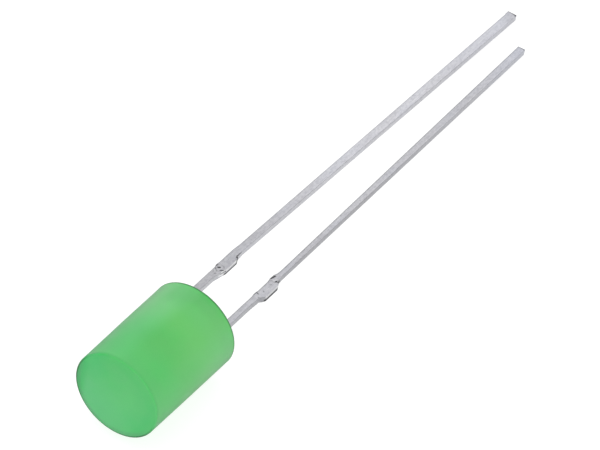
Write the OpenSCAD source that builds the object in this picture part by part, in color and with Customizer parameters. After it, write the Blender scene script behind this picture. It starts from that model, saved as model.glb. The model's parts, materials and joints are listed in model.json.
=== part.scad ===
// Five millimetre cylindrical LED with a flat top and no flange.
// A diffused green epoxy body is cast round two stamped leads. The cathode
// lead ends inside the body in a reflector cup that holds the die, and the
// anode lead ends in a post that takes the bond wire.
//
// The pieces are drawn upright in a local frame: z runs along the body's
// axis, z = 0 is the base where the leads leave, the flat top is at
// z = body_h, the leads hang below, and both leads lie in the plane y = 0.
// laid() then puts the whole part down as it comes to rest on a table, on
// the lowest point of its base edge and on the corners of both lead tips.

/* [Body] */
// Diameter of the parallel part of the body
body_d = 5.0; // [4.8:0.1:5.4]
// Height of the body from its base to the flat top
body_h = 6.6; // [5.5:0.1:9]
// Height of the parallel part, measured from the base
parallel_h = 3.0; // [2:0.1:4]
// Diameter lost to mould draft between the parallel part and the flat top
draft_d = 0.06; // [0:0.02:0.2]
// Radius of the edge round the flat top
rim_r = 0.06; // [0.03:0.01:0.4]
// Radius of the edge round the base
base_r = 0.04; // [0.03:0.01:0.2]
// Depth of the shallow hollow that the casting leaves in the base
base_dish = 0.10; // [0.02:0.01:0.2]
// Height that the epoxy climbs each lead below the base
climb = 0.14; // [0.05:0.01:0.3]

/* [Leads] */
// Distance between the centre lines of the leads where they leave the body
pitch = 2.54; // [2.4:0.02:2.7]
// Thickness of the sheet that both leads are stamped from
sheet_t = 0.40; // [0.35:0.01:0.5]
// Length of the anode lead below the base
anode_len = 29.3; // [15:0.1:32]
// Length by which the cathode lead is shorter
len_step = 1.74; // [0.5:0.02:3]
// How far the cut at each tip runs back across the lead
tip_slant = 0.06; // [0:0.01:0.12]
// Width of the anode lead above its ear
anode_root_w = 0.38; // [0.3:0.01:0.5]
// Width of the anode lead at its tip
anode_tip_w = 0.50; // [0.36:0.01:0.6]
// Width of the cathode lead above its ear
cathode_root_w = 0.32; // [0.28:0.01:0.5]
// Width of the cathode lead just below its ear
cathode_neck_w = 0.275; // [0.24:0.005:0.5]
// Width of the cathode lead at its tip
cathode_tip_w = 0.41; // [0.3:0.01:0.6]
// Distance from the body's axis to the anode lead's centre at its tip
anode_tip_x = 0.645; // [0.5:0.005:1.5]
// Distance from the body's axis to the cathode lead's centre at its tip
cathode_tip_x = 1.148; // [0.8:0.004:1.5]

/* [Ears] */
// Distance from the base to the start of the sheared ears
ear_top = 3.9; // [3:0.1:5]
// Length of each ear, from its start to the shoulder that rests on the board
ear_len = 1.16; // [0.8:0.02:2]
// How far the anode's ear stands out of its lead
anode_ear = 0.17; // [0.08:0.01:0.3]
// How far the cathode's ear stands out of its lead
cathode_ear = 0.23; // [0.08:0.01:0.3]
// Step that the shear leaves on the other edge of each lead
ear_back = 0.05; // [0.01:0.01:0.08]

/* [Inside the body] */
// Height of the reflector cup's rim above the base
cup_top = 3.10; // [3.05:0.05:3.6]
// Outer radius of the reflector cup
cup_r = 0.52; // [0.45:0.01:0.6]
// Depth of the reflector cup
cup_depth = 0.30; // [0.26:0.01:0.36]
// Height of the anode post above the base
post_top = 3.30; // [3:0.05:3.8]
// Side of the square die
die_w = 0.24; // [0.16:0.01:0.28]
// Height of the die
die_h = 0.20; // [0.12:0.01:0.24]
// Diameter of the bond wire
wire_d = 0.03; // [0.02:0.005:0.05]

/* [Hidden] */

body_r = body_d / 2;
top_r = body_r - draft_d / 2;
cathode_len = anode_len - len_step;
ear_end = ear_top + ear_len;          // the shoulders, below the base
cathode_edge = pitch / 2 + 0.14;      // outer edge of the cathode lead
glue_t = 0.015;                       // silver epoxy under the die
cup_floor = cup_top - cup_depth;
die_top = cup_floor + glue_t + die_h;

// ---- how the part comes to rest -------------------------------------------
// The body leans by `lean` so that its flat top is raised, and turns about its
// own axis by `turn`, because the anode lead is longer than the cathode lead.
tip_a = [-anode_tip_x + anode_tip_w / 2, anode_len];
tip_c = [cathode_tip_x + cathode_tip_w / 2, cathode_len];
turn_rate = (tip_a[1] - tip_c[1]) / (tip_c[0] - tip_a[0]);
// height of the base centre, less the height that the anode tip asks for
function over(s) =
    let (p = -turn_rate * s, n = sqrt(1 - p * p - s * s))
    (body_r - base_r) * sqrt(1 - s * s) + base_r - s * base_r
    - (sheet_t / 2 * n + tip_a[1] * s - p * tip_a[0]);
// bisection for the sine of the lean
function settle(a, b, n) =
    n == 0 ? (a + b) / 2 :
    let (m = (a + b) / 2) over(m) > 0 ? settle(m, b, n - 1) : settle(a, m, n - 1);
sin_lean = settle(0, 0.4, 40);
lean = asin(sin_lean);
turn = asin(turn_rate * sin_lean / cos(lean));
rest_z = (body_r - base_r) * cos(lean) + base_r - sin_lean * base_r;
// ends of the part along the table, before it is centred
y_front = -(body_h - rim_r) * cos(lean) - (top_r - rim_r) * sin_lean - rim_r;
y_back = anode_len * cos(lean)
    + sin_lean * (sin(turn) * (anode_tip_x + anode_tip_w / 2) + cos(turn) * sheet_t / 2);
rest_y = -(y_front + y_back) / 2;

module laid() {
    translate([0, rest_y, rest_z]) rotate([90 - lean, 0, 0]) rotate([0, 0, -turn]) children();
}

// ---- stamped sheet: an outline in the lead plane, with the sheet's thickness
module stamped(outline) {
    rotate([90, 0, 0]) linear_extrude(height = sheet_t, center = true) polygon(outline);
}

function arc(cx, cz, r, a0, a1, n) =
    [for (i = [0:n]) let (a = a0 + (a1 - a0) * i / n) [cx + r * cos(a), cz + r * sin(a)]];

// ---- epoxy body -------------------------------------------------------------
module body_solid() {
    // the round shape is drawn square to the table, whatever the leads' turn
    rotate([0, 0, turn]) rotate_extrude($fn = 96)
        polygon(concat(
            [[0, base_dish], [body_r * 0.45, base_dish * 0.72], [body_r * 0.75, base_dish * 0.3], [body_r * 0.9, 0]],
            arc(body_r - base_r, base_r, base_r, -90, 0, 4),
            [[body_r, parallel_h]],
            arc(top_r - rim_r, body_h - rim_r, rim_r, 0, 90, 6),
            [[0, body_h]]));
    // the epoxy climbs each lead a little, as a cone that holds its corners
    for (c = [[-pitch / 2, anode_root_w], [cathode_edge - cathode_root_w / 2, cathode_root_w]])
        let (r = norm([c[1], sheet_t]) / 2 + 0.025)
            translate([c[0], 0, -climb]) cylinder(h = climb + base_dish + 0.1, r1 = r, r2 = r + 0.25, $fn = 48);
}

module lens_body() {
    color([0.41, 0.77, 0.46]) laid() difference() {
        body_solid();
        anode_sheet();
        cathode_sheet();
        cup();
        die();
        glue();
        wire();
    }
}

// ---- anode: the longer lead, with the post for the bond wire -----------------
al = -pitch / 2 - anode_root_w / 2;
ar = -pitch / 2 + anode_root_w / 2;
anode_outline = [
    // post inside the body, with one barb that holds it in the epoxy
    [al, post_top], [al, 1.70], [al - 0.16, 1.56], [al - 0.16, 1.26], [al, 1.12],
    // outer edge down to the tip
    [al, -ear_top + 0.16], [al - ear_back, -ear_top], [al - ear_back, -ear_top - 0.08],
    [al - ear_back * 0.5, -ear_top - 0.25], [al - ear_back * 0.5, -ear_end - 0.30], [al + 0.02, -ear_end - 0.80],
    [-anode_tip_x - anode_tip_w / 2, -anode_len + tip_slant],
    [-anode_tip_x + anode_tip_w / 2, -anode_len],
    // inner edge back up: shoulder, ear, long flare
    [ar + 0.02, -ear_end - 0.60], [ar + 0.045, -ear_end - 0.32], [ar + 0.055, -ear_end - 0.03],
    [ar + anode_ear * 0.80, -ear_end], [ar + anode_ear, -ear_end + 0.10], [ar + anode_ear, -ear_top - 0.10],
    [ar + anode_ear * 0.72, -ear_top + 0.10], [ar, -ear_top + 0.75],
    // inside the body, out to the head of the post
    [ar, 2.55], [ar + 0.33, 2.92], [ar + 0.33, post_top]
];
module anode_sheet() { stamped(anode_outline); }
module anode_lead() { color([0.80, 0.80, 0.82]) laid() anode_sheet(); }

// ---- cathode: the shorter lead, with the reflector cup -----------------------
cl = cathode_edge - cathode_root_w;
cn = cathode_edge - cathode_neck_w;
cathode_outline = [
    // neck under the cup and the broad blade that carries it
    [-0.30, cup_top - 0.62], [-0.42, cup_top - 0.80], [-0.42, 2.00], [0.10, 1.30], [0.62, 0.98],
    [0.62, 0.66], [cl, 0.66],
    // inner edge down to the tip
    [cl, -ear_top + 0.48], [cl - ear_back * 0.5, -ear_top + 0.32], [cl - ear_back * 0.5, -ear_top + 0.12],
    [cl, -ear_top - 0.02], [cl, -ear_end + 0.30], [cl - ear_back, -ear_end], [cl - ear_back, -ear_end - 0.30],
    [cn - 0.02, -ear_end - 0.56], [cn, -ear_end - 0.76],
    [cathode_tip_x - cathode_tip_w / 2, -cathode_len + tip_slant],
    [cathode_tip_x + cathode_tip_w / 2, -cathode_len],
    // outer edge back up, round the ear
    [cathode_edge, -ear_end - 0.62], [cathode_edge + 0.03, -ear_end - 0.30], [cathode_edge + 0.03, -ear_end - 0.02],
    [cathode_edge + cathode_ear * 0.85, -ear_end], [cathode_edge + cathode_ear, -ear_end + 0.09],
    [cathode_edge + cathode_ear, -ear_top - 0.06], [cathode_edge + cathode_ear * 0.7, -ear_top + 0.10],
    [cathode_edge + 0.035, -ear_top + 0.26], [cathode_edge + 0.02, -ear_top + 0.65], [cathode_edge, -ear_top + 0.95],
    // up the outer edge and over the blade
    [cathode_edge, 1.00], [cathode_edge + 0.14, 1.14], [cathode_edge + 0.14, 1.42], [cathode_edge, 1.56],
    [cathode_edge, 1.86], [0.72, 2.20], [0.42, cup_top - 0.80], [0.30, cup_top - 0.62]
];
module cathode_sheet() { stamped(cathode_outline); }
// the head is coined round, with the conical reflector pressed into it
module cup() {
    rotate_extrude($fn = 72) polygon([
        [0, cup_top - 0.74], [cup_r * 0.62, cup_top - 0.74], [cup_r, cup_top - 0.24], [cup_r, cup_top],
        [cup_r * 0.82, cup_top], [cup_r * 0.5, cup_floor], [0, cup_floor]]);
}
module cathode_lead() {
    color([0.80, 0.80, 0.82]) laid() union() { cathode_sheet(); cup(); }
}

// ---- die, its silver epoxy and the bond wire ---------------------------------
module glue() {
    translate([0, 0, cup_floor]) cylinder(h = glue_t, r = cup_r * 0.42, $fn = 12);
}
module die() {
    translate([-die_w / 2, -die_w / 2, cup_floor + glue_t]) cube([die_w, die_w, die_h]);
}
module die_attach() { color([0.72, 0.72, 0.70]) laid() glue(); }
module led_die() { color([0.45, 0.60, 0.30]) laid() die(); }

// The wire rises from the die, loops over and lands on the post. Its centre
// line is one cubic curve in the plane y = 0; both ends are cut level.
wire_land = -pitch / 2 + anode_root_w / 2 + 0.08;
w0 = [0, die_top];
w1 = [0, die_top + 0.75];
w2 = [wire_land * 0.62, post_top + 0.72];
w3 = [wire_land, post_top];
wire_steps = 18;
wire_sides = 8;
function wp(t) = pow(1 - t, 3) * w0 + 3 * t * pow(1 - t, 2) * w1 + 3 * t * t * (1 - t) * w2 + t * t * t * w3;
function wt(t) = let (d = 3 * pow(1 - t, 2) * (w1 - w0) + 6 * t * (1 - t) * (w2 - w1) + 3 * t * t * (w3 - w2)) d / norm(d);
// across the wire, in its plane; level at both ends and stretched to keep the width
function wn(t) = let (d = wt(t)) t == 0 || t == 1 ? [1 / abs(d[1]), 0] : [d[1], -d[0]] * (d[1] < 0 ? 1 : 1);
function ring(i) =
    let (t = i / wire_steps, c = wp(t), m = t == 1 ? -wn(t) : wn(t))
    [for (k = [0:wire_sides - 1])
        let (a = 360 * (k + 0.5) / wire_sides)
        [c[0] + wire_d / 2 * cos(a) * m[0], wire_d / 2 * sin(a), c[1] + wire_d / 2 * cos(a) * m[1]]];
module wire() {
    s = wire_sides;
    polyhedron(
        points = [for (i = [0:wire_steps]) each ring(i)],
        faces = concat(
            [[for (k = [0:s - 1]) k]],
            [for (i = [0:wire_steps - 1], k = [0:s - 1])
                [i * s + k, (i + 1) * s + k, (i + 1) * s + (k + 1) % s, i * s + (k + 1) % s]],
            [[for (k = [s - 1:-1:0]) wire_steps * s + k]]));
}
module bond_wire() { color([0.90, 0.72, 0.25]) laid() wire(); }

lens_body();
anode_lead();
cathode_lead();
led_die();
die_attach();
bond_wire();
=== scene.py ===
import json
import math

import bpy
import numpy as np
from mathutils import Matrix, Vector, noise


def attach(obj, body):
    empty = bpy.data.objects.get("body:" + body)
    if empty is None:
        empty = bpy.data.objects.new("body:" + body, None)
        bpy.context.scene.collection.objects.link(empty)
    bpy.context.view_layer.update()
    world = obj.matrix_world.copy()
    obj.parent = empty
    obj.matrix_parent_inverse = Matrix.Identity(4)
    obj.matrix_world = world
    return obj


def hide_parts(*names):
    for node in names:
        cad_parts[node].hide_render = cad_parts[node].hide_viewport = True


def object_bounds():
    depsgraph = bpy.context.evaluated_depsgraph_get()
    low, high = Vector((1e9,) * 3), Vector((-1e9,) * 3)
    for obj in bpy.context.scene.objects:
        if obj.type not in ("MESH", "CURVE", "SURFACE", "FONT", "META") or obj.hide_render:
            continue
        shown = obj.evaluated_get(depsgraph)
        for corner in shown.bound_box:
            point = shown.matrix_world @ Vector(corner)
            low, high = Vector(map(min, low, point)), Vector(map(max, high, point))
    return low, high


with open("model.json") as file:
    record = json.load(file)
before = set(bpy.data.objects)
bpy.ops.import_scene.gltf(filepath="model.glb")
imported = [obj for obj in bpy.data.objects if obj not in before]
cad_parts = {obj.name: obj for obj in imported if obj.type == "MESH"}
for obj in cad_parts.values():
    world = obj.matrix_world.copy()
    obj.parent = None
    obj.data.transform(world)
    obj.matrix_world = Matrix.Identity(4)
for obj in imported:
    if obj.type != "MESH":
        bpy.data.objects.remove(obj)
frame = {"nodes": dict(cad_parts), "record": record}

CAD_LO, CAD_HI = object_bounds()

# ----------------------------------------------------------------------------
# The LED's own frame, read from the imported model: z runs along the body's axis
# from the base (z = 0) to the flat top, x goes from the anode to the cathode,
# and y is square to the sheet that the leads are stamped from. Lengths below
# are millimetres in this frame, as in the CAD source.
# ----------------------------------------------------------------------------
MM = 0.001
BODY_R, BODY_H, TOP_R = 2.5, 6.6, 2.47
RIM_R, BASE_R = 0.06, 0.04
PARALLEL_H, DISH, CLIMB = 3.0, 0.10, 0.14
PITCH, SHEET = 2.54, 0.40
ANODE_LEN, CATHODE_LEN, SLANT = 29.3, 27.56, 0.06
CUP_TOP, CUP_R, CUP_DEPTH = 3.10, 0.52, 0.30
POST_TOP, GLUE_T, DIE_W, DIE_H, WIRE_D = 3.30, 0.015, 0.24, 0.20, 0.03
EAR_TOP, EAR_END = 3.9, 5.06
EDGE = PITCH / 2 + 0.14
CUP_FLOOR = CUP_TOP - CUP_DEPTH
DIE_TOP = CUP_FLOOR + GLUE_T + DIE_H

mounts = {m["name"]: m for m in frame["record"]["mounts"]}
Z_AX = Vector(mounts["flat_top"]["axis"]).normalized()
BASE = Vector(mounts["flat_top"]["pos_m"]) - Z_AX * (BODY_H * MM)


def cad_points(node):
    return np.array([v.co for v in frame["nodes"][node].data.vertices], float)


pa, pc = cad_points("anode_lead"), cad_points("cathode_lead")
_, _, vt = np.linalg.svd(pa - pa.mean(0), full_matrices=False)
Y_AX = Vector(vt[2])
Y_AX = (Y_AX - Z_AX * Y_AX.dot(Z_AX)).normalized()
X_AX = Y_AX.cross(Z_AX).normalized()
if X_AX.dot(Vector(pc.mean(0) - pa.mean(0))) < 0:
    X_AX, Y_AX = -X_AX, -Y_AX
FRAME = Matrix((
    (X_AX.x, Y_AX.x, Z_AX.x, BASE.x),
    (X_AX.y, Y_AX.y, Z_AX.y, BASE.y),
    (X_AX.z, Y_AX.z, Z_AX.z, BASE.z),
    (0, 0, 0, 1)))


def smooth(a, b, x):
    t = np.clip((np.asarray(x, float) - a) / (b - a), 0, 1)
    return t * t * (3 - 2 * t)


def fbm(p, octaves=3):
    return noise.fractal(Vector(p), 1.0, 2.0, octaves)


def add_piece(name, verts, faces, material, node, attrs=None):
    """A mesh piece drawn in the LED's frame in millimetres, put where the CAD node is."""
    me = bpy.data.meshes.new(name)
    me.from_pydata([tuple(FRAME @ (Vector(v) * MM)) for v in verts], [], faces)
    me.validate(verbose=False)
    me.update()
    for key, values in (attrs or {}).items():
        a = me.attributes.new(key, "FLOAT", "POINT")
        a.data.foreach_set("value", np.asarray(values, np.float32))
    me.polygons.foreach_set("use_smooth", [True] * len(me.polygons))
    me.materials.append(material)
    ob = bpy.data.objects.new(name, me)
    bpy.context.scene.collection.objects.link(ob)
    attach(ob, "root")
    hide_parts(node)
    return ob


def skin(rings, close_start=True, close_end=True, base=0):
    """Quads between rings of equal length, and a fan at each end."""
    verts, faces = [], []
    n = len(rings[0])
    for r in rings:
        verts.extend(r)
    for i in range(len(rings) - 1):
        a, b = base + i * n, base + (i + 1) * n
        for k in range(n):
            j = (k + 1) % n
            faces.append((a + k, a + j, b + j, b + k))
    if close_start:
        c = base + len(verts)
        verts.append(tuple(np.mean(np.array(rings[0]), 0)))
        faces.extend((c, base + (k + 1) % n, base + k) for k in range(n))
    if close_end:
        c = base + len(verts)
        last = base + (len(rings) - 1) * n
        verts.append(tuple(np.mean(np.array(rings[-1]), 0)))
        faces.extend((c, last + k, last + (k + 1) % n) for k in range(n))
    return verts, faces


# ----------------------------------------------------------------------------
# Node materials
# ----------------------------------------------------------------------------
class Nodes:
    def __init__(self, name):
        self.mat = bpy.data.materials.new(name)
        self.mat.use_nodes = True
        self.led = None
        self.t = self.mat.node_tree
        self.t.nodes.clear()
        self.out = self.t.nodes.new("ShaderNodeOutputMaterial")
        self.bsdf = self.t.nodes.new("ShaderNodeBsdfPrincipled")
        self.link(self.bsdf.outputs[0], self.out.inputs[0])

    def link(self, a, b):
        self.t.links.new(a, b)

    def put(self, socket, value):
        if hasattr(value, "is_output"):
            self.link(value, socket)
        else:
            socket.default_value = value

    def mm(self, scale=(1, 1, 1), loc=(0, 0, 0)):
        """The point in the LED's own frame in millimetres, times scale, plus loc."""
        if self.led is None:
            inv = FRAME.inverted()
            c = self.t.nodes.new("ShaderNodeTexCoord")
            m = self.t.nodes.new("ShaderNodeMapping")
            m.inputs["Scale"].default_value = [1 / MM] * 3
            m.inputs["Rotation"].default_value = inv.to_euler("XYZ")
            m.inputs["Location"].default_value = inv.translation / MM
            self.link(c.outputs["Object"], m.inputs["Vector"])
            self.led = m.outputs[0]
        m = self.t.nodes.new("ShaderNodeMapping")
        m.inputs["Scale"].default_value = scale
        m.inputs["Location"].default_value = loc
        self.link(self.led, m.inputs["Vector"])
        return m.outputs[0]

    def xyz(self, vec):
        s = self.t.nodes.new("ShaderNodeSeparateXYZ")
        self.link(vec, s.inputs[0])
        return s.outputs

    def math(self, op, a, b=None, c=None):
        n = self.t.nodes.new("ShaderNodeMath")
        n.operation = op
        for i, v in enumerate((a, b, c)):
            if v is not None:
                self.put(n.inputs[i], v)
        return n.outputs[0]

    def noise(self, vec, scale=1.0, detail=3.0, rough=0.55, dist=0.0):
        n = self.t.nodes.new("ShaderNodeTexNoise")
        n.inputs["Scale"].default_value = scale
        n.inputs["Detail"].default_value = detail
        n.inputs["Roughness"].default_value = rough
        n.inputs["Distortion"].default_value = dist
        self.link(vec, n.inputs["Vector"])
        return n.outputs["Fac"]

    def voronoi(self, vec, scale=1.0):
        n = self.t.nodes.new("ShaderNodeTexVoronoi")
        n.inputs["Scale"].default_value = scale
        self.link(vec, n.inputs["Vector"])
        return n.outputs["Distance"]

    def remap(self, v, a, b, c=0.0, d=1.0, kind="LINEAR"):
        n = self.t.nodes.new("ShaderNodeMapRange")
        n.interpolation_type = kind
        self.link(v, n.inputs["Value"])
        for key, x in (("From Min", a), ("From Max", b), ("To Min", c), ("To Max", d)):
            n.inputs[key].default_value = x
        return n.outputs[0]

    def ramp(self, v, stops, mode="LINEAR"):
        n = self.t.nodes.new("ShaderNodeValToRGB")
        n.color_ramp.interpolation = mode
        e = n.color_ramp.elements
        while len(e) < len(stops):
            e.new(0.5)
        for i, (pos, col) in enumerate(stops):
            e[i].position = pos
            e[i].color = (*col, 1)
        self.link(v, n.inputs[0])
        return n.outputs[0]

    def mix(self, fac, a, b, blend="MIX"):
        n = self.t.nodes.new("ShaderNodeMix")
        n.data_type = "RGBA"
        n.blend_type = blend
        self.put(n.inputs[0], fac)
        for s, v in ((n.inputs[6], a), (n.inputs[7], b)):
            self.put(s, (*v, 1) if isinstance(v, tuple) and len(v) == 3 else v)
        return n.outputs[2]

    def attr(self, name):
        n = self.t.nodes.new("ShaderNodeAttribute")
        n.attribute_name = name
        return n.outputs["Fac"]

    def bump(self, height, distance_mm, strength=1.0, normal=None):
        n = self.t.nodes.new("ShaderNodeBump")
        n.inputs["Strength"].default_value = strength
        n.inputs["Distance"].default_value = distance_mm * MM
        self.link(height, n.inputs["Height"])
        if normal is not None:
            self.link(normal, n.inputs["Normal"])
        return n.outputs[0]

    def set(self, **kw):
        for key, v in kw.items():
            self.put(self.bsdf.inputs[key.replace("_", " ")], v)


def lin(r, g, b):
    """An sRGB colour from 0 to 255 as scene-linear."""
    return tuple(
        (c / 12.92 if c <= 0.04045 else ((c + 0.055) / 1.055) ** 2.4)
        for c in (r / 255, g / 255, b / 255))


def epoxy_material():
    n = Nodes("green_epoxy")

    def dye(*rgb):
        return tuple(c * k for c, k in zip(lin(*rgb), (1.08, 1.065, 1.085)))

    p = n.mm()
    x, y, z = n.xyz(p)
    r = n.math("SQRT", n.math("ADD", n.math("MULTIPLY", x, x), n.math("MULTIPLY", y, y)))
    # the diffused dye reads yellower over the leads near the base and cooler towards the flat top; the darkening round
    # the reflector cup inside is painted shade
    side = n.ramp(n.math("DIVIDE", z, BODY_H), [
        (0.00, dye(88, 189, 99)), (0.10, dye(100, 194, 108)), (0.20, dye(103, 202, 110)),
        (0.36, dye(102, 203, 104)), (0.58, dye(90, 198, 99)), (0.80, dye(88, 201, 105)),
        (1.00, dye(90, 196, 108))], "EASE")
    # painted reflection: paler along one flank, standing in for the sheen of the bright surround at a grazing angle
    flank = n.math("ADD", n.math("MULTIPLY", x, -0.574), n.math("MULTIPLY", y, 0.819))
    pale = n.mix(n.remap(z, 1.5, 4.5, 0.0, 1.0, "SMOOTHSTEP"), dye(126, 215, 136), dye(102, 208, 122))
    side = n.mix(n.remap(flank, 1.85, 2.5, 0.0, 1.0, "SMOOTHSTEP"), side, pale)
    warm = n.math("MULTIPLY", n.remap(x, 0.6, 1.8, 0.0, 0.42, "SMOOTHSTEP"), n.remap(z, 5.2, 3.6, 0.0, 1.0))
    warm = n.math("MULTIPLY", warm, n.remap(x, 1.85, 2.30, 1.0, 0.15, "SMOOTHSTEP"))
    side = n.mix(warm, side, dye(116, 204, 116))
    # painted light: paler towards the +x side, less so towards the flat top
    right = n.math("MULTIPLY", n.remap(x, 1.5, 2.5, 0.0, 0.62, "SMOOTHSTEP"), n.remap(z, 1.0, 5.5, 1.0, 0.35))
    side = n.mix(right, side, dye(120, 208, 130))
    # and a shade deeper beside that flank, just above the base
    beside = n.math("MULTIPLY", n.remap(x, -1.6, -0.9, 0.0, 1.0, "SMOOTHSTEP"), n.remap(x, 0.25, -0.35, 0.0, 0.32, "SMOOTHSTEP"))
    beside = n.math("MULTIPLY", beside, n.remap(z, 2.0, 0.9, 0.0, 1.0, "SMOOTHSTEP"))
    beside = n.math("MULTIPLY", beside, n.remap(y, 0.5, 1.5, 0.0, 1.0, "SMOOTHSTEP"))
    side = n.mix(beside, side, dye(84, 186, 100))
    # painted shadow of the reflector cup inside: darkest in front of the cup
    cup_shade_dist = n.math("SQRT", n.math("ADD", n.math("ADD",
                  n.math("POWER", n.math("DIVIDE", n.math("SUBTRACT", x, 0.45), 1.5), 2.0),
                  n.math("POWER", n.math("DIVIDE", n.math("SUBTRACT", z, 4.5), 1.5), 2.0)),
                  n.math("POWER", n.math("DIVIDE", n.math("SUBTRACT", y, 2.4), 1.6), 2.0)))
    side = n.mix(n.remap(cup_shade_dist, 1.0, 0.1, 0.0, 0.40, "SMOOTHSTEP"), side, dye(92, 191, 98))
    # painted light and shade on the flat top: lighter in the middle and towards -x -y, darker and more saturated
    # towards the rim, towards +y and at the -x edge
    face = n.ramp(n.math("DIVIDE", r, BODY_R), [
        (0.00, dye(89, 198, 115)), (0.35, dye(86, 198, 113)), (0.62, dye(80, 196, 110)), (0.82, dye(75, 194, 107)),
        (0.93, dye(77, 192, 106)), (1.00, dye(88, 183, 109))], "EASE")
    face = n.mix(n.remap(y, -1.0, 2.4, 0.0, 0.6), face, dye(70, 189, 94))
    low = n.math("ADD", n.math("MULTIPLY", x, -0.7), n.math("MULTIPLY", y, -0.7))
    face = n.mix(n.remap(low, -0.1, 1.6, 0.0, 0.7), face, dye(98, 197, 126))
    face = n.mix(n.remap(x, -1.65, -2.15, 0.0, 0.85, "SMOOTHSTEP"), face, dye(64, 186, 98))
    corner = n.math("MULTIPLY", n.remap(x, -0.5, -1.6, 0.0, 1.0, "SMOOTHSTEP"), n.remap(y, -0.1, 1.3, 0.0, 0.38))
    face = n.mix(corner, face, dye(55, 193, 108))
    on_face = n.remap(z, BODY_H - 0.30, BODY_H + 0.02, 0, 1, "SMOOTHSTEP")
    colour = n.mix(on_face, side, face)
    # slow clouding of the diffusing powder, and its fine grain
    cloud = n.noise(n.mm((0.36, 0.36, 0.30), (3.1, 1.7, 0.4)), 1.0, 2.0, 0.5)
    colour = n.mix(n.remap(cloud, 0.42, 0.72, 0.0, 0.16), colour, dye(118, 206, 124))
    colour = n.mix(n.remap(cloud, 0.50, 0.24, 0.0, 0.12), colour, dye(72, 188, 94))
    grain = n.noise(n.mm((22, 22, 22)), 1.0, 2.0, 0.6)
    colour = n.mix(n.remap(grain, 0.35, 0.65, 0.0, 0.06), colour, dye(150, 214, 150))
    # painted shade: a dark line round the cast edge of the base
    edge = n.math("MULTIPLY", n.remap(z, 0.14, 0.03, 0.0, 0.95, "SMOOTHSTEP"),
                  n.remap(r, 2.30, 2.45, 0.0, 1.0, "SMOOTHSTEP"))
    colour = n.mix(edge, colour, dye(44, 92, 54))
    # painted shade: a dark line on the fine radius round the flat top, strongest on the side the part lies on
    shade_and_wear = n.math("DIVIDE", n.math("ADD", n.math("MULTIPLY", x, -0.42), n.math("MULTIPLY", y, -0.91)), r)
    rim = n.math("MULTIPLY", n.remap(r, TOP_R - 0.13, TOP_R - 0.07, 0.0, 1.0, "SMOOTHSTEP"),
                 n.remap(z, BODY_H - 0.11, BODY_H - 0.05, 0.0, 1.0, "SMOOTHSTEP"))
    rim = n.math("MULTIPLY", rim, n.remap(shade_and_wear, -0.45, 0.42, 0.05, 1.0, "SMOOTHSTEP"))
    # painted shade: the face a little darker towards the part of the rim that the part lies on
    lower_rim_shade = n.math("MULTIPLY", n.remap(r, 2.06, 2.36, 0.0, 1.0, "SMOOTHSTEP"),
                  n.remap(z, BODY_H - 0.11, BODY_H - 0.05, 0.0, 1.0, "SMOOTHSTEP"))
    lower_rim_shade = n.math("MULTIPLY", lower_rim_shade, n.remap(shade_and_wear, -0.15, 0.40, 0.0, 0.42, "SMOOTHSTEP"))
    colour = n.mix(lower_rim_shade, colour, dye(86, 140, 108))
    colour = n.mix(rim, colour, dye(44, 108, 60))
    n.set(Base_Color=colour)
    rough = n.noise(n.mm((1.3, 1.3, 1.0), (0.2, 5.0, 2.0)), 1.0, 3.0, 0.5)
    n.set(Roughness=n.remap(rough, 0.3, 0.7, 0.42, 0.56))
    fine = n.noise(n.mm((9, 9, 9)), 1.0, 3.0, 0.5)
    soft = n.noise(n.mm((0.9, 0.9, 0.8), (2.0, 0.0, 1.0)), 1.0, 2.0, 0.5)
    nb = n.bump(soft, 0.030, 0.8)
    n.set(Normal=n.bump(fine, 0.0035, 0.6, nb))
    n.set(Subsurface_Weight=0.7, Subsurface_Scale=0.00050,
          Subsurface_Radius=(0.35, 1.0, 0.45), IOR=1.5, Specular_IOR_Level=0.25)
    # the thin clear skin of the casting, over the dyed resin
    n.set(Coat_Weight=1.0, Coat_IOR=1.02, Coat_Roughness=0.6, Coat_Tint=(0.94, 0.895, 0.94, 1.0))
    return n.mat


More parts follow.
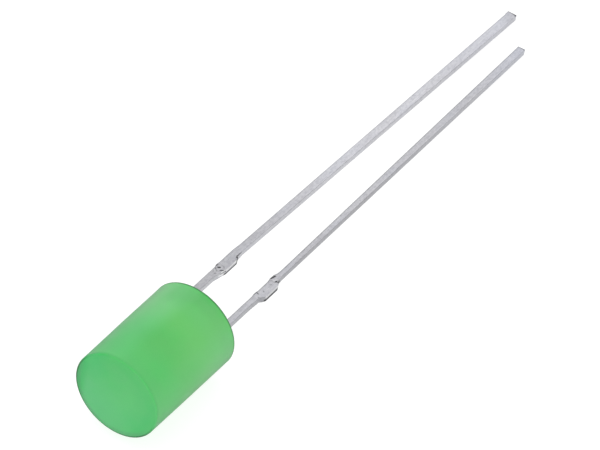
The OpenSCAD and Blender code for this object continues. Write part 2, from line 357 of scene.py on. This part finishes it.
def tin_material():
    n = Nodes("tinned_steel")
    # lengthwise drawing lines, long thin stains in the plating and fine pits
    lines = n.noise(n.mm((34, 34, 0.55)), 1.0, 3.0, 0.6)
    broad = n.noise(n.mm((5.5, 5.5, 0.35), (1.0, 2.0, 0.0)), 1.0, 3.0, 0.55)
    cool = n.noise(n.mm((1.6, 1.6, 0.55), (4.0, 1.0, 3.0)), 1.0, 2.0, 0.5)
    pits = n.noise(n.mm((30, 30, 16)), 1.0, 2.0, 0.6)
    speck = n.noise(n.mm((21, 21, 13), (3.0, 8.0, 2.0)), 1.0, 1.0, 0.5)
    colour = n.ramp(lines, [(0.30, (0.583, 0.583, 0.620)), (0.50, (0.685, 0.683, 0.715)),
                            (0.72, (0.765, 0.762, 0.786))])
    colour = n.mix(n.remap(broad, 0.35, 0.70, 0.0, 0.42), colour, (0.535, 0.535, 0.583))
    colour = n.mix(n.remap(cool, 0.40, 0.70, 0.0, 0.45), colour, (0.658, 0.674, 0.738))
    colour = n.mix(n.remap(pits, 0.62, 0.74, 0.0, 0.40), colour, (0.385, 0.385, 0.417))
    colour = n.mix(n.remap(speck, 0.66, 0.72, 0.0, 0.35), colour, (0.86, 0.86, 0.88))
    mottle = n.noise(n.mm((8.5, 8.5, 6.0), (1.0, 4.0, 9.0)), 1.0, 2.0, 0.6)
    colour = n.mix(n.remap(mottle, 0.50, 0.66, 0.0, 0.30), colour, (0.80, 0.80, 0.83))
    colour = n.mix(n.remap(mottle, 0.50, 0.34, 0.0, 0.34), colour, (0.44, 0.44, 0.48))
    # the last of the solder bath runs to the tips and dries bluer
    across, _, along = n.xyz(n.mm())
    blue = n.math("MULTIPLY", n.remap(along, -22.0, -27.5, 0.0, 0.26, "SMOOTHSTEP"), n.remap(across, -0.3, 0.6, 0.45, 1.0))
    colour = n.mix(blue, colour, (0.61, 0.655, 0.80))
    # how each face is shaded: the walls painted darker than the top face as painted shade, all darker near the body and
    # lighter towards the tips
    t = n.attr("tone_and_shade")
    colour = n.mix(1.0, colour, n.ramp(t, [(0.0, (0, 0, 0)), (1.0, (1, 1, 1))]), "MULTIPLY")
    # bright burnished band and painted glints, and dark exposed-steel fracture with painted shade lines, on the sheared
    # ears
    colour = n.mix(n.attr("bright"), colour, (0.95, 0.95, 0.95))
    rag = n.noise(n.mm((26, 26, 18), (7.0, 3.0, 1.0)), 1.0, 3.0, 0.7)
    shade_and_wear = n.math("MULTIPLY", n.attr("bare_and_shade"), n.remap(rag, 0.34, 0.52, 0.75, 1.0))
    colour = n.mix(shade_and_wear, colour, (0.035, 0.034, 0.036))
    n.set(Base_Color=colour, Metallic=1.0)
    rr = n.remap(n.math("ADD", lines, n.math("MULTIPLY", broad, 0.6)), 0.55, 1.05, 0.26, 0.42)
    n.set(Roughness=n.math("ADD", rr, n.math("MULTIPLY", shade_and_wear, 0.25)))
    b1 = n.bump(lines, 0.0040, 0.8)
    b2 = n.bump(pits, 0.0040, 0.6, b1)
    n.set(Normal=b2)
    return n.mat


def gold_material():
    n = Nodes("gold_wire")
    g = n.noise(n.mm((60, 60, 60)), 1.0, 3.0, 0.6)
    n.set(Base_Color=n.ramp(g, [(0.35, (0.78, 0.50, 0.16)), (0.65, (0.95, 0.70, 0.30))]),
          Metallic=1.0, Roughness=n.remap(g, 0.3, 0.7, 0.18, 0.32),
          Normal=n.bump(g, 0.0008, 0.5))
    return n.mat


def silver_epoxy_material():
    n = Nodes("silver_epoxy")
    f = n.voronoi(n.mm((70, 70, 70)))
    g = n.noise(n.mm((20, 20, 20)), 1.0, 3.0, 0.6)
    c = n.ramp(f, [(0.10, (0.62, 0.61, 0.58)), (0.60, (0.34, 0.34, 0.33))])
    n.set(Base_Color=n.mix(n.remap(g, 0.35, 0.65, 0.0, 0.4), c, (0.50, 0.49, 0.45)),
          Metallic=0.0, Roughness=n.remap(g, 0.3, 0.7, 0.45, 0.65),
          Normal=n.bump(f, 0.002, 0.8))
    return n.mat


def die_material():
    n = Nodes("semiconductor")
    _, _, z = n.xyz(n.mm())
    saw = n.noise(n.mm((6, 6, 140)), 1.0, 2.0, 0.6)
    layer = n.ramp(n.remap(z, CUP_FLOOR + GLUE_T, DIE_TOP), [
        (0.00, (0.20, 0.20, 0.17)), (0.55, (0.36, 0.34, 0.12)), (0.80, (0.50, 0.44, 0.10)),
        (1.00, (0.42, 0.46, 0.14))])
    n.set(Base_Color=n.mix(n.remap(saw, 0.3, 0.7, 0.0, 0.35), layer, (0.18, 0.18, 0.12)),
          Roughness=n.remap(saw, 0.3, 0.7, 0.15, 0.40),
          Normal=n.bump(saw, 0.0015, 0.6), IOR=1.9)
    return n.mat


EPOXY, TIN, GOLD = epoxy_material(), tin_material(), gold_material()
SILVER, DIE = silver_epoxy_material(), die_material()


# ----------------------------------------------------------------------------
# Epoxy body: soft rim round the flat top, slight draft, dished base with the
# epoxy climbing each lead
# ----------------------------------------------------------------------------
LEAD_RECTS = [(-PITCH / 2 - 0.19, -PITCH / 2 + 0.19), (EDGE - 0.32, EDGE)]


def base_height(x, y):
    r = math.hypot(x, y)
    u = min(r / (BODY_R * 0.93), 1.0)
    h = DISH * (1 - u * u) ** 1.3
    for a, b in LEAD_RECTS:
        d = math.hypot(max(a - x, 0, x - b), max(abs(y) - SHEET / 2, 0))
        h = h * (1 - math.exp(-d / 0.22)) - (CLIMB - 0.01) * math.exp(-d / 0.11)
    return h + 0.004 * fbm((x * 1.6, y * 1.6, 3.0))


def body_piece():
    n = 240
    ang = [2 * math.pi * k / n for k in range(n)]
    rings = []
    # base, from near the middle outwards
    flat_r = BODY_R - BASE_R
    radii = list(np.linspace(0.06, 2.30, 66)) + list(np.linspace(2.33, flat_r - 0.02, 4))
    for r in radii:
        fade = 1 - float(smooth(2.15, flat_r, r))
        rings.append([(r * math.cos(a), r * math.sin(a),
                       base_height(r * math.cos(a), r * math.sin(a)) * fade) for a in ang])
    # base edge, never quite even where the casting was filled
    for t in np.linspace(0, 90, 9):
        c, s = math.sin(math.radians(t)), 1 - math.cos(math.radians(t))
        ring = []
        for a in ang:
            w = 0.010 * max(0.0, fbm((math.cos(a) * 2.2, math.sin(a) * 2.2, 8.0)) + 0.2) * (1 - t / 90)
            ring.append(((flat_r + BASE_R * c - w) * math.cos(a),
                         (flat_r + BASE_R * c - w) * math.sin(a), BASE_R * s + w * 0.3))
        rings.append(ring)
    # side: parallel, then the mould's draft, with a faint waviness inwards
    top_r = TOP_R + 0.012
    for z in list(np.linspace(BASE_R + 0.05, PARALLEL_H, 26)) + list(np.linspace(PARALLEL_H + 0.12, BODY_H - 0.10, 30)):
        r0 = BODY_R if z <= PARALLEL_H else BODY_R + (top_r - BODY_R) * (z - PARALLEL_H) / (BODY_H - RIM_R - PARALLEL_H)
        ring = []
        for a in ang:
            w = 0.006 * (0.5 + 0.5 * fbm((math.cos(a) * 1.3, math.sin(a) * 1.3, z * 0.5), 2))
            r = r0 - max(w, 0.0)
            ring.append((r * math.cos(a), r * math.sin(a), z))
        rings.append(ring)
    # soft rim
    rim = RIM_R + 0.025
    for t in np.linspace(0, 90, 12):
        c, s = math.cos(math.radians(t)), math.sin(math.radians(t))
        r, z = top_r - 0.003 - rim + rim * c, BODY_H - 0.001 - rim + rim * s
        rings.append([(r * math.cos(a), r * math.sin(a), z) for a in ang])
    # flat top, drawn in by a hundredth or so as the epoxy shrinks
    for r in list(np.linspace(top_r - 0.003 - rim - 0.02, 0.08, 46)):
        sink = 0.012 * float(smooth(TOP_R - rim, 0.9, r))
        rings.append([(r * math.cos(a), r * math.sin(a),
                       BODY_H - 0.001 - sink - 0.003 * abs(fbm((r * math.cos(a) * 0.8, r * math.sin(a) * 0.8, 1.0), 2))
                       * float(smooth(TOP_R - rim, 1.8, r)))
                      for a in ang])
    verts, faces = skin(rings)
    # outward winding: rings run anticlockwise and climb, the base comes first
    return add_piece("epoxy_body", verts, faces, EPOXY, "lens_body")


# ----------------------------------------------------------------------------
# Leads: stamped sheet, lofted along z through rounded rectangles
# ----------------------------------------------------------------------------
def at(table, z):
    """Piecewise-linear edge of a lead; the table runs from the top down."""
    zs = [-q[0] for q in table]
    return float(np.interp(-z, zs, [q[1] for q in table]))


def soft_at(table, z, w):
    """The same, with the corners eased over w."""
    return sum(at(table, z + w * k) * g for k, g in
               ((-1.0, 0.10), (-0.5, 0.22), (0.0, 0.36), (0.5, 0.22), (1.0, 0.10)))


def section(xl, xr, half, radii, n_corner=6, n_wide=14, n_thick=14):
    """A rounded rectangle, anticlockwise seen from +z; radii run from (+x,+y) on.

    Each point comes with the angle that the surface faces there."""
    w, t = (xr - xl) / 2, half
    pts, face = [], []
    cx = (xl + xr) / 2
    lim = min(w, t) * 0.98
    rad = [min(r, lim) for r in radii]
    corners = [(cx + w - rad[0], t - rad[0], rad[0], 0), (cx - w + rad[1], t - rad[1], rad[1], 90),
               (cx - w + rad[2], -t + rad[2], rad[2], 180), (cx + w - rad[3], -t + rad[3], rad[3], 270)]
    for i, (a, b, r, start) in enumerate(corners):
        for k in range(n_corner + 1):
            g = math.radians(start + 90 * k / n_corner)
            pts.append((a + r * math.cos(g), b + r * math.sin(g)))
            face.append(g)
        a2, b2, r2, s2 = corners[(i + 1) % 4]
        p0 = pts[-1]
        g2 = math.radians(s2)
        p1 = (a2 + r2 * math.cos(g2), b2 + r2 * math.sin(g2))
        m = n_wide if i in (0, 2) else n_thick
        for k in range(1, m):
            pts.append((p0[0] + (p1[0] - p0[0]) * k / m, p0[1] + (p1[1] - p0[1]) * k / m))
            face.append(g2)
    return pts, face


def near(p, a, b):
    """Distance from the point p to the straight stroke from a to b."""
    px, py, ax, ay, bx, by = *p, *a, *b
    dx, dy = bx - ax, by - ay
    t = min(1.0, max(0.0, ((px - ax) * dx + (py - ay) * dy) / max(dx * dx + dy * dy, 1e-9)))
    return math.hypot(px - ax - t * dx, py - ay - t * dy)


def strokes(p, lines):
    """The strongest of some soft strokes at p: (points, width, strength) each."""
    v = 0.0
    for pts, width, amount in lines:
        d = min(near(p, a, b) for a, b in zip(pts, pts[1:]))
        v = max(v, amount * float(smooth(width * 0.75, width * 0.25, d)))
    return v


def lead_rings(left, right, stations, ease, seed, paint, tones, tip_len, rim_shade):
    """Rings down a lead, with its values for exposed steel and painted shade, for burnish and painted glints, and for
    each face's shade.
    """
    rings, bare_and_shade, bright, tone_and_shade = [], [], [], []
    half = SHEET / 2 - 0.002
    zs, top_t, wall_shaded_t = tones
    todo = [(z, 0.0) for z in stations] + [(-tip_len + 0.003, 0.003), (-tip_len, 0.008), (-tip_len, 0.03), (-tip_len, 0.08)]
    for z, pull in todo:
        w = ease(z)
        xl, xr = soft_at(left, z, w), soft_at(right, z, w)
        out = z < -0.2
        if out:
            xl += 0.006 * max(0.0, fbm((z * 1.1, seed, 0.0), 2))
            xr -= 0.006 * max(0.0, fbm((z * 1.3, seed + 5.0, 0.0), 2))
        pts, face = section(xl + pull, xr - pull, half - pull * 0.8, (0.030, 0.038, 0.018, 0.018))
        to = float(np.interp(-z, zs, top_t))
        wa = float(np.interp(-z, zs, wall_shaded_t))
        lean_in = float(smooth(-tip_len + 0.6, -tip_len, z))
        ring = []
        for (x, y), g in zip(pts, face):
            # the cut runs back a little from the longer corner
            zz = z + SLANT * lean_in * (xr - x) / (xr - xl)
            b, h, dy = paint(x, y, zz, xl, xr, g) if out else (0.0, 0.0, 0.0)
            if out and y > 0:
                dy -= 0.0012 * abs(fbm((x * 9, z * 0.7, seed), 2))
                dy *= min(1.0, y / (half * 0.8))
            dx = 0.0
            if b > 0 and abs(y) < half * 0.9 and x > xr - 0.05:
                dx = -0.012 * b * (0.5 + 0.5 * fbm((z * 9, y * 9, seed), 3))
            ring.append((x + dx, y + min(dy, 0.0), zz))
            # painted shade: the walls take the darker wall values, the top face the lighter top values
            side = math.cos(g) ** 2
            # the left-hand edge of the top face turns a touch darker
            roll = rim_shade * float(smooth(xl + 0.085, xl + 0.03, x)) * float(smooth(-0.1, 0.12, y))
            end = pull > 0.02
            # the sheared end is one even grey
            bare_and_shade.append(0.10 if end else min(max(b, 0), 1))
            bright.append(0.0 if end else min(max(h, 0), 1))
            tone_and_shade.append(0.80 if end else (to * (1 - side) + wa * side) * (1 - roll))
        rings.append(ring)
    return rings, {"bare_and_shade": bare_and_shade, "bright": bright, "tone_and_shade": tone_and_shade}


def spread(*spans):
    out = []
    for a, b, step in spans:
        n = max(2, int(round(abs(a - b) / step)) + 1)
        out.extend(np.linspace(a, b, n)[: None if (a, b) == spans[-1][:2] else -1])
    return [float(v) for v in out]


T, E = EAR_TOP, EAR_END
AL, AR = -PITCH / 2 - 0.19, -PITCH / 2 + 0.19
AE, EB = 0.17, 0.05
A_LEFT = [(POST_TOP, AL), (1.70, AL), (1.56, AL - 0.16), (1.26, AL - 0.16), (1.12, AL),
          (-T + 0.16, AL), (-T, AL - EB), (-T - 0.08, AL - EB), (-T - 0.25, AL - EB / 2),
          (-E - 0.30, AL - EB / 2), (-E - 0.80, AL + 0.02), (-ANODE_LEN + 0.34, -0.645 - 0.246),
          (-ANODE_LEN + 0.28, -0.645 - 0.268), (-ANODE_LEN, -0.645 - 0.262)]
A_RIGHT = [(POST_TOP, AR + 0.33), (2.92, AR + 0.33), (2.55, AR), (-T + 0.75, AR),
           (-T + 0.10, AR + AE * 0.72), (-T - 0.10, AR + AE), (-E + 0.10, AR + AE),
           (-E, AR + AE * 0.8), (-E - 0.03, AR + 0.055), (-E - 0.32, AR + 0.045), (-E - 0.60, AR + 0.02),
           (-ANODE_LEN, -0.645 + 0.25)]
CL, CN, CE = EDGE - 0.32, EDGE - 0.275, 0.23
C_LEFT = [(CUP_TOP - 0.62, -0.30), (CUP_TOP - 0.80, -0.42), (2.00, -0.42), (1.30, 0.10), (0.98, 0.62),
          (0.66, 0.62), (0.64, CL), (-T + 0.48, CL), (-T + 0.32, CL - EB / 2), (-T + 0.12, CL - EB / 2),
          (-T - 0.02, CL), (-E + 0.30, CL), (-E, CL - EB), (-E - 0.30, CL - EB), (-E - 0.56, CN - 0.02),
          (-E - 0.76, CN), (-CATHODE_LEN, 1.148 - 0.205)]
C_RIGHT = [(CUP_TOP - 0.62, 0.30), (CUP_TOP - 0.80, 0.42), (2.20, 0.72), (1.86, EDGE), (1.56, EDGE),
           (1.42, EDGE + 0.14), (1.14, EDGE + 0.14), (1.00, EDGE), (-T + 0.95, EDGE), (-T + 0.65, EDGE + 0.02),
           (-T + 0.26, EDGE + 0.035), (-T + 0.10, EDGE + CE * 0.7), (-T - 0.06, EDGE + CE),
           (-E + 0.09, EDGE + CE), (-E, EDGE + CE * 0.85), (-E - 0.02, EDGE + 0.03), (-E - 0.30, EDGE + 0.03),
           (-E - 0.62, EDGE), (-CATHODE_LEN, 1.148 + 0.205)]


def ease(z):
    return 0.028 if -6.2 < z < -3.0 else 0.03


# marks of the shear, with painted shade lines beside the ears and painted glints: strokes on the top face as (x, z),
# and on the outer walls as (y, z)
ANODE_TOP = [([(-0.900, -5.090), (-0.985, -5.045), (-1.030, -5.140)], 0.125, 1.0),
             ([(-1.030, -5.140), (-1.040, -5.290), (-1.020, -5.540)], 0.075, 0.9),
             ([(-1.315, -3.815), (-1.240, -3.880)], 0.085, 1.0), ([(-1.450, -3.860), (-1.445, -3.965)], 0.060, 0.8),
             ([(-1.330, -3.640), (-1.395, -3.700)], 0.060, 0.55), ([(-1.255, -3.620), (-1.215, -3.560)], 0.060, 0.45),
             ([(-1.100, -3.720), (-0.995, -3.830)], 0.065, 0.85), ([(-1.120, -4.060), (-1.050, -3.970)], 0.050, 0.5),
             ([(-1.215, -3.350), (-1.165, -3.410)], 0.055, 0.5), ([(-1.370, -3.480), (-1.330, -3.420)], 0.050, 0.35),
             ([(-1.235, -4.020), (-1.180, -4.060)], 0.045, 0.35)]
ANODE_WALL = [([(-0.150, -3.95), (-0.140, -4.50), (-0.135, -5.02)], 0.165, 1.0),
              ([(-0.150, -4.975), (0.200, -4.965)], 0.150, 1.0), ([(0.060, -3.62), (0.120, -3.90), (0.040, -3.98)], 0.055, 0.7)]
ANODE_GLINT = [([(0.155, -3.70), (0.150, -3.88)], 0.10, 1.0), ([(0.140, -4.68), (0.130, -4.83)], 0.095, 1.0),
               ([(-0.02, -3.55), (-0.06, -3.80)], 0.13, 0.7)]
CATHODE_TOP = [([(1.150, -3.795), (1.235, -3.780)], 0.060, 0.7), ([(1.300, -4.125), (1.366, -4.092)], 0.055, 0.5),
               ([(1.305, -4.685), (1.352, -4.750)], 0.055, 0.5), ([(1.380, -3.575), (1.394, -3.630)], 0.050, 0.5),
               ([(1.040, -5.060), (1.085, -5.110), (1.150, -5.365)], 0.075, 1.0),
               ([(1.085, -3.620), (1.075, -3.900)], 0.055, 0.7), ([(1.175, -4.930), (1.225, -5.020)], 0.045, 0.4),
               ([(1.270, -4.960), (1.420, -5.020)], 0.045, 0.35), ([(1.400, -5.080), (1.440, -5.140)], 0.090, 1.0)]
CATHODE_WALL = [([(-0.100, -3.92), (-0.085, -4.40), (-0.100, -4.96)], 0.150, 1.0), ([(-0.100, -4.96), (0.060, -5.03)], 0.100, 0.9),
                ([(0.020, -5.06), (0.000, -5.36)], 0.160, 0.85)]


def ear_marks_and_shade(top, wall, glint, x, y, z, xr, g, reach):
    """Exposed steel and painted shade, burnish and painted glint, and how deep the surface is pressed in, at one point
    of an ear.
    """
    if not reach[0] > z > reach[1]:
        return 0.0, 0.0, 0.0
    bare_and_shade = bright = dy = 0.0
    if math.sin(g) > 0.5:
        bare_and_shade = strokes((x, z), top)
        dy = -0.014 * bare_and_shade
    if math.cos(g) > 0.3:
        bare_and_shade = max(bare_and_shade, strokes((y, z), wall))
        bright = max(0.8 * strokes((y, z), glint),
                     0.45 * float(smooth(0.02, 0.10, y) * smooth(-T + 0.05, -T - 0.05, z) * smooth(-E - 0.02, -E + 0.04, z)))
    return bare_and_shade, bright * (1 - bare_and_shade), dy


def anode_piece():
    st = spread((POST_TOP, -0.2, 0.07), (-0.2, -3.0, 0.10), (-3.0, -6.2, 0.018), (-6.2, -28.6, 0.12),
                (-28.6, -29.2, 0.03), (-29.2, -ANODE_LEN + 0.010, 0.012))
    # top and wall values along the lead; the lower wall values are painted shade
    tones = ([-4, 2, 7, 14, 21, 26, 28, 28.4, 28.75, 30], [0.60, 0.69, 0.745, 0.925, 0.955, 0.95, 0.965, 0.93, 0.85, 0.86],
             [0.66, 0.70, 0.725, 0.77, 0.73, 0.73, 0.73, 0.74, 0.74, 0.73])

    def paint(x, y, z, xl, xr, g):
        b, h, dy = ear_marks_and_shade(ANODE_TOP, ANODE_WALL, ANODE_GLINT, x, y, z, xr, g, (-3.2, -5.7))
        if z < -ANODE_LEN + 0.20 and math.sin(g) > 0.3:
            b = max(b, 0.75 * float(smooth(-ANODE_LEN + 0.09 + SLANT * 0.5, -ANODE_LEN + 0.02 + SLANT * 0.5, z)))
            b = max(b, strokes((x, z), [([(-0.405, -29.26), (-0.430, -29.20)], 0.06, 0.9)]))
        return b, h, dy

    rings, att = lead_rings(A_LEFT, A_RIGHT, st, ease, 1.0, paint, tones, ANODE_LEN, 0.12)
    verts, faces = skin(rings)
    faces = [tuple(reversed(f)) for f in faces]
    return add_piece("anode_pin", verts, faces, TIN, "anode_lead",
                     {k: v + [v[0], v[-1]] for k, v in att.items()})


def cathode_piece():
    st = spread((CUP_TOP - 0.62, -0.2, 0.06), (-0.2, -3.0, 0.10), (-3.0, -6.2, 0.018), (-6.2, -26.9, 0.12),
                (-26.9, -27.46, 0.03), (-27.46, -CATHODE_LEN + 0.010, 0.012))
    # top and wall values along the lead; the lower wall values are painted shade
    tones = ([-4, 2, 7, 14, 21, 27, 30], [0.74, 0.775, 0.78, 0.825, 0.815, 0.87, 0.87],
             [0.53, 0.54, 0.49, 0.487, 0.585, 0.665, 0.665])

    def paint(x, y, z, xl, xr, g):
        b, h, dy = ear_marks_and_shade(CATHODE_TOP, CATHODE_WALL, [], x, y, z, xr, g, (-3.2, -5.7))
        if z < -CATHODE_LEN + 0.20 and math.sin(g) > 0.3:
            b = max(b, 0.55 * float(smooth(-CATHODE_LEN + 0.09 + SLANT * 0.5, -CATHODE_LEN + 0.02 + SLANT * 0.5, z)))
        return b, h, dy

    rings, att = lead_rings(C_LEFT, C_RIGHT, st, ease, 9.0, paint, tones, CATHODE_LEN, 0.26)
    verts, faces = skin(rings)
    faces = [tuple(reversed(f)) for f in faces]
    # coined head with the conical reflector
    prof = [(0.0, CUP_TOP - 0.74), (CUP_R * 0.60, CUP_TOP - 0.74), (CUP_R * 0.64, CUP_TOP - 0.72),
            (CUP_R * 0.98, CUP_TOP - 0.26), (CUP_R, CUP_TOP - 0.22), (CUP_R, CUP_TOP - 0.02),
            (CUP_R - 0.02, CUP_TOP), (CUP_R * 0.84, CUP_TOP), (CUP_R * 0.80, CUP_TOP - 0.02),
            (CUP_R * 0.53, CUP_FLOOR + 0.02), (CUP_R * 0.48, CUP_FLOOR), (0.0, CUP_FLOOR)]
    m, off = 96, len(verts)
    cup = [[(r * math.cos(2 * math.pi * k / m), r * math.sin(2 * math.pi * k / m), z) for k in range(m)]
           for r, z in prof[1:-1]]
    cv, cf = skin(cup, base=off)
    verts, faces = verts + cv, faces + cf
    extra = len(cv)
    fill = {"bare_and_shade": 0.0, "bright": 0.0, "tone_and_shade": 1.0}
    return add_piece("cathode_pin", verts, faces, TIN, "cathode_lead",
                     {k: v + [v[0], v[-1]] + [fill[k]] * extra for k, v in att.items()})


# ----------------------------------------------------------------------------
# Inside the body: die, silver epoxy, bond wire
# ----------------------------------------------------------------------------
def die_piece():
    z0, z1, h = CUP_FLOOR + GLUE_T, DIE_TOP, DIE_W / 2
    rings = []

    def square(s, z, r):
        pts = []
        for cx, cy, g in ((s - r, s - r, 0), (-s + r, s - r, 90), (-s + r, -s + r, 180), (s - r, -s + r, 270)):
            for k in range(5):
                a = math.radians(g + 22.5 * k)
                pts.append((cx + r * math.cos(a), cy + r * math.sin(a), z))
        return pts

    for s, z in ((h - 0.012, z0), (h - 0.004, z0 + 0.004), (h - 0.002, z0 + 0.03), (h, z0 + 0.06), (h - 0.001, z0 + 0.12),
                 (h - 0.004, z1 - 0.045), (h - 0.012, z1 - 0.040), (h - 0.014, z1 - 0.012), (h - 0.018, z1 - 0.008)):
        rings.append(square(s, z, 0.008))
    # round contact pad on the top
    n = len(rings[0])
    for r, z in ((0.062, z1 - 0.008), (0.058, z1 - 0.003), (0.05, z1 - 0.002)):
        rings.append([(r * math.cos(2 * math.pi * (k + 0.0) / n + math.pi / 24), r * math.sin(2 * math.pi * k / n + math.pi / 24), z)
                      for k in range(n)])
    verts, faces = skin(rings)
    return add_piece("led_chip", verts, faces, DIE, "led_die")


def glue_piece():
    n, r0 = 72, CUP_R * 0.42
    rings = []
    for r, z in ((0.98, 0.0), (1.0, 0.003), (0.985, 0.007), (0.93, 0.0105), (0.85, 0.0125), (0.74, 0.0140),
                 (0.60, 0.0149), (0.40, 0.015), (0.15, 0.015)):
        ring = []
        for k in range(n):
            a = 2 * math.pi * k / n
            w = 1 - 0.06 * abs(fbm((math.cos(a) * 2, math.sin(a) * 2, 4.0), 2)) * (r > 0.7)
            ring.append((r0 * r * w * math.cos(a), r0 * r * w * math.sin(a), CUP_FLOOR + z))
        rings.append(ring)
    verts, faces = skin(rings)
    return add_piece("silver_glue", verts, faces, SILVER, "die_attach")


def wire_piece():
    land = -PITCH / 2 + 0.19 + 0.08
    w0, w1, w2, w3 = (np.array(p) for p in ((0.0, DIE_TOP), (0.0, DIE_TOP + 0.75),
                                            (land * 0.62, POST_TOP + 0.72), (land, POST_TOP)))
    rings, m = [], 16
    steps = 72
    for i in range(steps + 1):
        t = i / steps
        c = (1 - t) ** 3 * w0 + 3 * t * (1 - t) ** 2 * w1 + 3 * t * t * (1 - t) * w2 + t ** 3 * w3
        d = 3 * (1 - t) ** 2 * (w1 - w0) + 6 * t * (1 - t) * (w2 - w1) + 3 * t * t * (w3 - w2)
        d /= np.linalg.norm(d)
        nx = np.array((d[1], -d[0]))
        r = WIRE_D / 2 * 0.98
        # ball bond on the die, flattened stitch on the post
        r *= 1 + 1.3 * math.exp(-((t / 0.018) ** 2)) + 0.5 * math.exp(-(((1 - t) / 0.02) ** 2))
        if i in (0, steps):
            nx = np.array((1.0, 0.0)) if i == 0 else np.array((-1.0, 0.0))
        ring = []
        for k in range(m):
            a = 2 * math.pi * k / m
            ring.append((c[0] + r * math.cos(a) * nx[0], r * math.sin(a), c[1] + r * math.cos(a) * nx[1]))
        rings.append(ring)
    verts, faces = skin(rings)
    faces = [tuple(reversed(f)) for f in faces]
    return add_piece("gold_bond_wire", verts, faces, GOLD, "bond_wire")


pieces = [body_piece(), anode_piece(), cathode_piece(), die_piece(), glue_piece(), wire_piece()]

# every shell faces outwards
import bmesh  # noqa: E402

for ob in pieces:
    bm = bmesh.new()
    bm.from_mesh(ob.data)
    bmesh.ops.recalc_face_normals(bm, faces=bm.faces)
    bm.to_mesh(ob.data)
    bm.free()

# the CAD nodes stay as the hidden frame, with the same finishes on them
for node, mat in (("lens_body", EPOXY), ("anode_lead", TIN), ("cathode_lead", TIN),
                  ("led_die", DIE), ("die_attach", SILVER), ("bond_wire", GOLD)):
    data = frame["nodes"][node].data
    data.materials.clear()
    data.materials.append(mat)

# ----------------------------------------------------------------------------
# Stage: plain pale floor, soft light from a bright surround, the camera
# ----------------------------------------------------------------------------
scene = bpy.context.scene
scene.view_settings.view_transform = "Standard"
scene.view_settings.look = "None"
scene.view_settings.exposure = 0.0
scene.view_settings.gamma = 1.0

me = bpy.data.meshes.new("floor")
S = 1.6
z_floor = CAD_LO.z - 0.000002
me.from_pydata([(-S, -S, z_floor), (S, -S, z_floor), (S, S, z_floor), (-S, S, z_floor)], [], [(0, 1, 2, 3)])
fm = Nodes("pale_floor")
paper = fm.noise(fm.mm((0.4, 0.4, 0.4)), 1.0, 3.0, 0.6)
fm.set(Base_Color=fm.ramp(paper, [(0.3, (0.295, 0.295, 0.295)), (0.7, (0.305, 0.305, 0.305))]),
       Roughness=0.9, Specular_IOR_Level=0.1,
       Emission_Color=(1.0, 1.0, 1.0, 1.0), Emission_Strength=0.80)
me.materials.append(fm.mat)
floor = bpy.data.objects.new("floor", me)
scene.collection.objects.link(floor)

world = bpy.data.worlds.new("soft_box")
scene.world = world
world.use_nodes = True
wt = world.node_tree
wt.nodes.clear()
wo = wt.nodes.new("ShaderNodeOutputWorld")
bg = wt.nodes.new("ShaderNodeBackground")
tc = wt.nodes.new("ShaderNodeTexCoord")
sep = wt.nodes.new("ShaderNodeSeparateXYZ")
wt.links.new(tc.outputs["Generated"], sep.inputs[0])
mr = wt.nodes.new("ShaderNodeMapRange")
mr.interpolation_type = "SMOOTHSTEP"
wt.links.new(sep.outputs["Z"], mr.inputs["Value"])
for key, v in (("From Min", 0.0), ("From Max", 0.60), ("To Min", 0.53), ("To Max", 0.83)):
    mr.inputs[key].default_value = v
# and it falls off again overhead, so that flat metal isn't washed out from above
zen = wt.nodes.new("ShaderNodeMapRange")
zen.interpolation_type = "SMOOTHSTEP"
wt.links.new(sep.outputs["Z"], zen.inputs["Value"])
for key, v in (("From Min", 0.80), ("From Max", 1.0), ("To Min", 1.0), ("To Max", 0.60)):
    zen.inputs[key].default_value = v
both = wt.nodes.new("ShaderNodeMath")
both.operation = "MULTIPLY"
wt.links.new(mr.outputs[0], both.inputs[0])
wt.links.new(zen.outputs[0], both.inputs[1])
wt.links.new(both.outputs[0], bg.inputs["Strength"])
bg.inputs["Color"].default_value = (1.0, 1.0, 1.0, 1)
wt.links.new(bg.outputs[0], wo.inputs[0])


def area(name, loc, target, size, power, colour=(1, 1, 1)):
    d = bpy.data.lights.new(name, "AREA")
    d.shape = "SQUARE"
    d.size = size
    d.energy = power
    d.color = colour
    ob = bpy.data.objects.new(name, d)
    ob.location = loc
    ob.rotation_mode = "QUATERNION"
    ob.rotation_quaternion = (Vector(target) - Vector(loc)).to_track_quat("-Z", "Y")
    scene.collection.objects.link(ob)
    return ob


area("front_fill", (0.25, -0.55, 0.30), (0, -0.01, 0), 1.1, 1.75)
area("top_soft", (-0.05, 0.05, 0.60), (0, 0, 0), 0.9, 1.35)

cam_data = bpy.data.cameras.new("camera")
cam_data.type = "PERSP"
cam_data.sensor_fit = "HORIZONTAL"
cam_data.sensor_width = 36.0
cam_data.lens = 480.0
cam_data.clip_start = 0.02
cam_data.clip_end = 6.0
cam = bpy.data.objects.new("camera", cam_data)
scene.collection.objects.link(cam)
# the view is fixed to the LED itself, whatever way it comes to rest
right = Vector((0.80177308, 0.16111416, -0.57550166)).normalized()
up = Vector((-0.51576120, 0.67301734, -0.53013022))
back = right.cross(up).normalized()
up = back.cross(right).normalized()
spot = Vector((122.08365, 291.96142, 242.57774)) * MM - right * 0.0000340 + up * 0.0000150
cam.matrix_world = FRAME @ Matrix((
    (right.x, up.x, back.x, spot.x),
    (right.y, up.y, back.y, spot.y),
    (right.z, up.z, back.z, spot.z),
    (0, 0, 0, 1)))
scene.camera = cam
